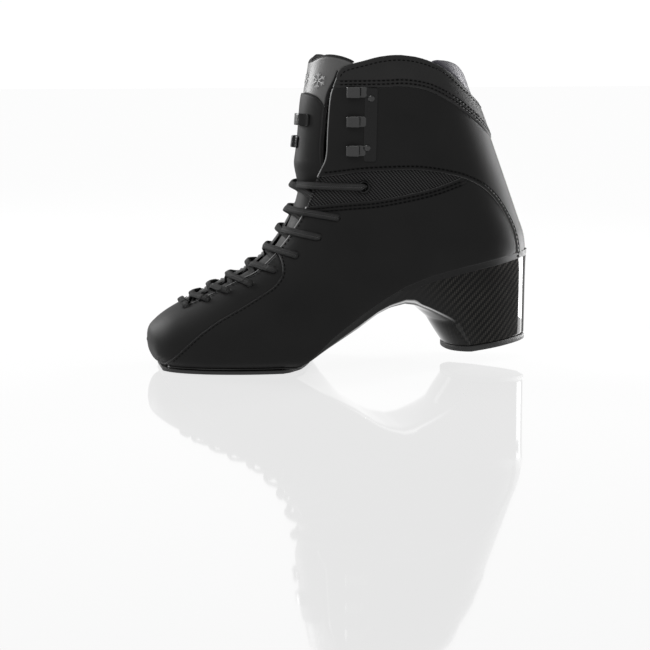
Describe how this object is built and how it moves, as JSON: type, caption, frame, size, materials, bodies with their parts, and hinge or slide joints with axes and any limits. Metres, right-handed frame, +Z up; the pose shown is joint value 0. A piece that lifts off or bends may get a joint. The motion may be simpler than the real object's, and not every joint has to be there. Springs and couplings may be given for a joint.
{
  "type": "figure skate boot",
  "caption": "Laced high-heeled skating boot with a folding tongue, lace hooks, a knitted ankle insert and a hard arch and heel shell, ready to take a blade.",
  "frame": {"origin": "on the ground under the middle of the boot's bounding box, at the height of the forefoot plate's underside", "axes": "+X towards the heel, -X towards the toe, -Y the outer side of this left boot, +Y its inner side, +Z up"},
  "size_m": [0.2679, 0.092, 0.2135],
  "materials": {
    "outer_leather": "matte black microfibre leather with a fine grain",
    "knit_mesh": "black knitted fabric with a diagonal rib",
    "padding": "dark foam",
    "lining_fabric": "smooth dark lining",
    "collar_padding": "satin grey padded collar",
    "stiff_board": "pressed fibre board",
    "carbon_shell": "glossy black with a fine twill weave",
    "rubber_edge": "satin black rubber",
    "black_metal": "black satin coated steel",
    "lace_weave": "dark grey woven lace",
    "lace_tip": "glossy black sleeve"
  },
  "bodies": {
    "boot": {"collar_band": "outer_leather", "toe_panel": "outer_leather", "quarter_lateral": "outer_leather", "quarter_medial": "outer_leather", "cuff_lateral": "outer_leather", "cuff_medial": "outer_leather", "mesh_insert_lateral": "knit_mesh", "mesh_insert_medial": "knit_mesh", "toe_box": "stiff_board", "heel_counter": "stiff_board", "ankle_pad_lateral": "padding", "ankle_pad_medial": "padding", "lining": "lining_fabric", "collar_pad": "collar_padding", "lasting_board": "stiff_board", "footbed": "lining_fabric", "tongue_lower_cover": "outer_leather", "tongue_lower_foam": "padding", "tongue_lower_lining": "lining_fabric", "hook_plate_lateral": "black_metal", "hook_plate_medial": "black_metal", "hook_rivet_lateral_1": "black_metal", "hook_rivet_lateral_2": "black_metal", "hook_rivet_medial_1": "black_metal", "hook_rivet_medial_2": "black_metal", "eyelet_ring_lateral": "black_metal", "eyelet_ring_medial": "black_metal", "sole_shell": "carbon_shell", "heel_core": "stiff_board", "heel_rand": "rubber_edge", "heel_plate": "rubber_edge", "forefoot_plate": "rubber_edge", "lace": "lace_weave", "lace_tail_lateral": "lace_weave", "lace_tail_medial": "lace_weave", "lace_coil_lateral": "lace_weave", "lace_coil_medial": "lace_weave", "aglet_lateral": "lace_tip", "aglet_medial": "lace_tip"},
    "tongue": {"tongue_top_patch": "outer_leather", "tongue_upper_cover": "outer_leather", "tongue_upper_foam": "padding", "tongue_upper_lining": "lining_fabric", "tongue_guide_upper": "black_metal", "tongue_guide_lower": "black_metal"}
  },
  "joints": [
    {"name": "tongue_fold", "type": "hinge", "parent": "boot", "child": "tongue", "pos_m": [-0.0313, 0, 0.135], "axis": [0, -1, 0], "range_deg": [0, 35]}
  ]
}
